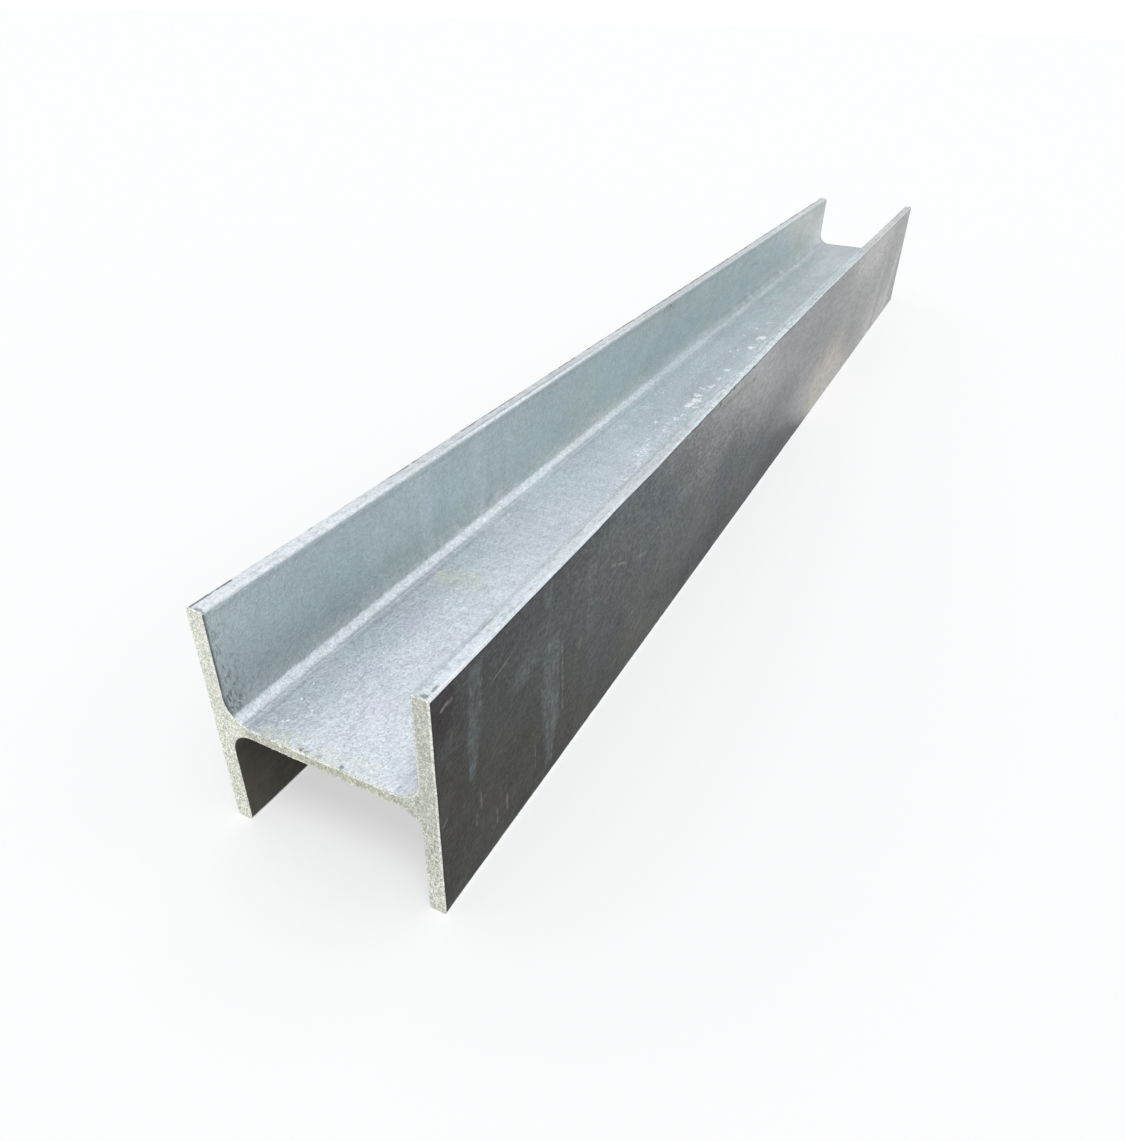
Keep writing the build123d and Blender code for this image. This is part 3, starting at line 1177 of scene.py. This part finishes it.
# Clusters of runs on the web, in millimetres: place along and across, spread along and across,
# how many lumps, and half the width of the largest
RUNS = (
    (-262, -4.0, 5, 2.0, 9, 0.6),
    (-232, -8.0, 7, 2.5, 16, 0.6),
    (-205, -7.0, 8, 3.0, 20, 0.7),
    (-184, -5.0, 6, 3.0, 16, 0.7),
    (-165, 0.0, 9, 3.5, 22, 0.7),
    (-152, 3.5, 5, 1.5, 7, 0.6),
    (-135, 0.5, 5, 1.2, 6, 0.6),
    (-123, 10.0, 2, 1.0, 3, 0.7),
    (-112, 0.5, 1.8, 3.0, 9, 0.9),
    (-104, -1.0, 3.0, 1.5, 5, 0.7),
    (-86, 0.5, 3.5, 3.2, 24, 1.3),
    (-76, -0.5, 3.0, 2.8, 20, 1.3),
    (-67, 1.5, 2.0, 3.4, 13, 1.1),
    (-54, 3.5, 1.2, 2.0, 5, 0.8),
    (-48, -0.5, 3.0, 2.0, 8, 0.9),
    (-31, -0.5, 4, 1.5, 6, 0.6),
    (-9, 0.8, 2.5, 2.0, 12, 1.0),
    (20, 4.5, 4.0, 1.5, 5, 0.5),
    (31, 11.0, 1.5, 0.8, 4, 0.8),
    (37, 7.0, 1.5, 0.8, 3, 0.6),
    (49, 0.2, 3.2, 1.5, 18, 1.6),
    (72, 1.5, 2.2, 1.2, 8, 1.1),
    (77, -0.8, 3.6, 2.0, 24, 1.7),
    (98, 10.5, 2.5, 1.0, 5, 0.7),
    (75, 14.0, 2.0, 0.8, 3, 0.6),
    (120, 6.0, 5.0, 1.5, 5, 0.5),
)
RUN_HEIGHT = 0.5 * MM
DROSS_COUNT = 70
DROSS_CLEAR = 11 * MM  # how far the dross keeps off the inner faces


def zinc_runs():
    """Clusters of bright lumps near the middle of the web, and dross specks scattered over it."""
    bm = bmesh.new()
    draw = random.Random(7)
    for along, across, spread_along, spread_across, count, size in RUNS:
        for _ in range(count):
            x = (along + draw.gauss(0, 0.5) * spread_along) * MM
            y = (across + draw.gauss(0, 0.5) * spread_across) * MM
            width = draw.uniform(0.5, 1.0) * size * MM
            reach = (width, width * draw.uniform(0.9, 2.2), RUN_HEIGHT * draw.uniform(0.4, 1.0))
            add_lump(bm, Vector((x, y, Section.web_top)), reach, turn=draw.gauss(0, 0.6), wobble=0.5)
    for _ in range(DROSS_COUNT):
        along = Section.low.x + Section.length * draw.random() ** 1.6
        across = draw.uniform(-1, 1) * (Section.inner_face - DROSS_CLEAR)
        size = draw.uniform(0.3, 0.6) * MM
        reach = (size * 1.4, size, size * 0.4)
        add_lump(bm, Vector((along, across, Section.web_top)), reach, turn=draw.random() * 6)
    return bm


class BEAM_OT_zinc_runs(bpy.types.Operator):
    """Add the runs and the dross on the web"""

    bl_idname = "beam.zinc_runs"
    bl_label = "Zinc runs"

    def execute(self, context):
        piece = make_object("zinc_runs", zinc_runs(), [run_zinc(context.scene.beam_colours)])
        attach(piece, BODY)
        return {"FINISHED"}


# Burrs on the upper edge of the web's near cut, in millimetres: place across and half width
BURRS = (
    (22, 0.6),
    (14, 0.5),
    (9.6, 0.7),
    (4.5, 0.6),
    (-0.4, 0.8),
    (-6.8, 0.6),
    (-11, 0.7),
    (-19, 0.5),
    (-26, 0.6),
)
BURR_SCATTER = 3 * MM  # how far a burr on the lower edge may lie from the one above it

# Corners of the bead across the right root, in millimetres: off the inner face and above the web
BEAD_CORNERS = ((6.9, -0.2), (-1.1, 8.1), (-1.0, -1.0))
BEAD_DEPTH = 1.5 * MM  # how far the bead runs back from the cut end


def root_bead(bm):
    """The web of zinc that froze straight across the right root, just behind the cut end."""
    near = Section.low.x + 0.3 * MM
    places = [(off * MM - Section.inner_face, Section.web_top + up * MM) for off, up in BEAD_CORNERS]
    face = bm.faces.new([bm.verts.new((near, y, z)) for y, z in places])
    drawn = bmesh.ops.extrude_face_region(bm, geom=[face], use_keep_orig=True)
    back = [item for item in drawn["geom"] if isinstance(item, bmesh.types.BMVert)]
    bmesh.ops.translate(bm, vec=(BEAD_DEPTH, 0, 0), verts=back)
    bmesh.ops.recalc_face_normals(bm, faces=bm.faces[:])
    bmesh.ops.bevel(
        bm, geom=bm.edges[:], offset=0.3 * MM, segments=2, profile=0.5, affect="EDGES", material=-1
    )
    long_edges = [edge for edge in bm.edges if edge.calc_length() > 3 * MM]
    bmesh.ops.subdivide_edges(bm, edges=long_edges, cuts=15, use_grid_fill=True)
    bmesh.ops.triangulate(bm, faces=bm.faces[:])
    bm.normal_update()
    for vertex in bm.verts:
        wave = noise.noise(vertex.co * 700) * 0.2 * MM
        vertex.co = inside_box(vertex.co + vertex.normal * wave)


def end_burrs():
    """The bead in the right root at the near end, and burrs along the near edges of the web."""
    bm = bmesh.new()
    root_bead(bm)
    for face in bm.faces:
        face.material_index = 1 if face.normal.x < -0.8 else 0
    draw = random.Random(11)
    near = Section.low.x + 0.5 * MM
    for across, half_width in BURRS:
        size = half_width * MM
        upper = Vector((near, across * MM, Section.web_top))
        add_lump(bm, upper, (0.5 * MM, size, 0.35 * size), wobble=0.4)
        aside = draw.uniform(-1, 1) * BURR_SCATTER
        lower = Vector((near, across * MM + aside, Section.web_bottom))
        add_lump(bm, lower, (0.4 * MM, size, 0.3 * size), wobble=0.4)
    return bm


class BEAM_OT_end_burrs(bpy.types.Operator):
    """Add the burrs and the root bead at the near cut end"""

    bl_idname = "beam.end_burrs"
    bl_label = "End burrs"

    def execute(self, context):
        colours = context.scene.beam_colours
        cut = bpy.data.materials.get("cut_zinc") or cut_zinc(colours)
        piece = make_object("end_burrs", end_burrs(), [burr_zinc(colours), cut])
        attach(piece, BODY)
        return {"FINISHED"}


# Studio


CAMERA_BEFORE_END = 0.15243  # how far the camera stands in front of the near end
CAMERA_SIDE = -0.16644
CAMERA_HEIGHT = 0.26686
CAMERA_TURN = (57.177, -1.192, -62.764)  # degrees
LENS_MM = 27.340
FLOOR_SIDE = 60.0
FLOOR_COLOUR = (0.93, 0.93, 0.93, 1)
FLOOR_GLOW = 1.03  # brings the floor that the camera sees up to white
GLOW_SHARE = 0.55  # how much of the floor that the camera sees glows
PURE_WHITE = (1, 1, 1, 1)
WORLD_COLOUR = (0.95, 0.98, 1, 1)
WORLD_LIGHT = 0.7
SUN_LIGHT = 1.1
SUN_FROM = Vector((-0.30, -0.25, 0.92))
SUN_SOFTNESS = 20  # degrees across


def sees_background(tree, share):
    """A share for rays that show the background, from the camera, in gloss and through glass, else 0."""
    path = add_node(tree, "ShaderNodeLightPath", {}).outputs
    rays = [path["Is Camera Ray"], path["Is Glossy Ray"], path["Is Transmission Ray"]]
    shown = rays[0]
    for ray in rays[1:]:
        shown = add_node(tree, "ShaderNodeMath", {0: shown, 1: ray}, operation="MAXIMUM").outputs[0]
    return add_node(tree, "ShaderNodeMath", {0: shown, 1: share}, operation="MULTIPLY").outputs[0]


class BEAM_OT_studio(bpy.types.Operator):
    """Set up the pale floor, the soft light and the camera"""

    bl_idname = "beam.studio"
    bl_label = "Studio"

    def execute(self, context):
        scene = context.scene
        scene.view_settings.view_transform = "Standard"

        bm = bmesh.new()
        bmesh.ops.create_grid(bm, x_segments=1, y_segments=1, size=FLOOR_SIDE / 2)
        material = bpy.data.materials.new("pale_floor")
        tree = shader_tree(material)
        card = add_node(tree, "ShaderNodeBsdfDiffuse", {"Color": FLOOR_COLOUR}).outputs[0]
        glow = add_node(tree, "ShaderNodeEmission", {"Color": PURE_WHITE, "Strength": FLOOR_GLOW}).outputs[0]
        inputs = {0: sees_background(tree, GLOW_SHARE), 1: card, 2: glow}
        mixed = add_node(tree, "ShaderNodeMixShader", inputs)
        add_node(tree, "ShaderNodeOutputMaterial", {"Surface": mixed.outputs[0]})
        make_object("floor", bm, [material])

        world = bpy.data.worlds.new("studio")
        scene.world = world
        tree = shader_tree(world)
        light = add_node(tree, "ShaderNodeBackground", {"Color": WORLD_COLOUR, "Strength": WORLD_LIGHT})
        white = add_node(tree, "ShaderNodeBackground", {"Color": PURE_WHITE, "Strength": 1.0})
        inputs = {0: sees_background(tree, 1.0), 1: light.outputs[0], 2: white.outputs[0]}
        mixed = add_node(tree, "ShaderNodeMixShader", inputs)
        add_node(tree, "ShaderNodeOutputWorld", {"Surface": mixed.outputs[0]})

        lamp = bpy.data.lights.new("soft_sun", "SUN")
        lamp.energy = SUN_LIGHT
        lamp.angle = math.radians(SUN_SOFTNESS)
        sun = bpy.data.objects.new("soft_sun", lamp)
        sun.rotation_euler = SUN_FROM.to_track_quat("Z", "Y").to_euler()
        scene.collection.objects.link(sun)

        camera = bpy.data.objects.new("camera", bpy.data.cameras.new("camera"))
        camera.data.lens = LENS_MM
        camera.data.clip_start = 0.01
        camera.location = (Section.low.x - CAMERA_BEFORE_END, CAMERA_SIDE, CAMERA_HEIGHT)
        camera.rotation_euler = [math.radians(turn) for turn in CAMERA_TURN]
        scene.collection.objects.link(camera)
        scene.camera = camera
        return {"FINISHED"}


class BEAM_PT_panel(bpy.types.Panel):
    bl_idname = "BEAM_PT_panel"
    bl_label = "Galvanised I-beam"
    bl_space_type = "VIEW_3D"
    bl_region_type = "UI"
    bl_category = "I-beam"

    def draw(self, context):
        for name in OPERATORS:
            self.layout.operator(name)


OPERATORS = ("beam.coated_beam", "beam.zinc_runs", "beam.end_burrs", "beam.studio")
CLASSES = (
    BeamShape,
    BeamColours,
    BEAM_OT_coated_beam,
    BEAM_OT_zinc_runs,
    BEAM_OT_end_burrs,
    BEAM_OT_studio,
    BEAM_PT_panel,
)


def register():
    for each in CLASSES:
        bpy.utils.register_class(each)
    bpy.types.Scene.beam_shape = bpy.props.PointerProperty(type=BeamShape)
    bpy.types.Scene.beam_colours = bpy.props.PointerProperty(type=BeamColours)


def unregister():
    del bpy.types.Scene.beam_colours
    del bpy.types.Scene.beam_shape
    for each in reversed(CLASSES):
        bpy.utils.unregister_class(each)


def main():
    register()
    bpy.ops.beam.coated_beam()
    bpy.ops.beam.zinc_runs()
    bpy.ops.beam.end_burrs()
    bpy.ops.beam.studio()


if __name__ == "__main__":
    main()
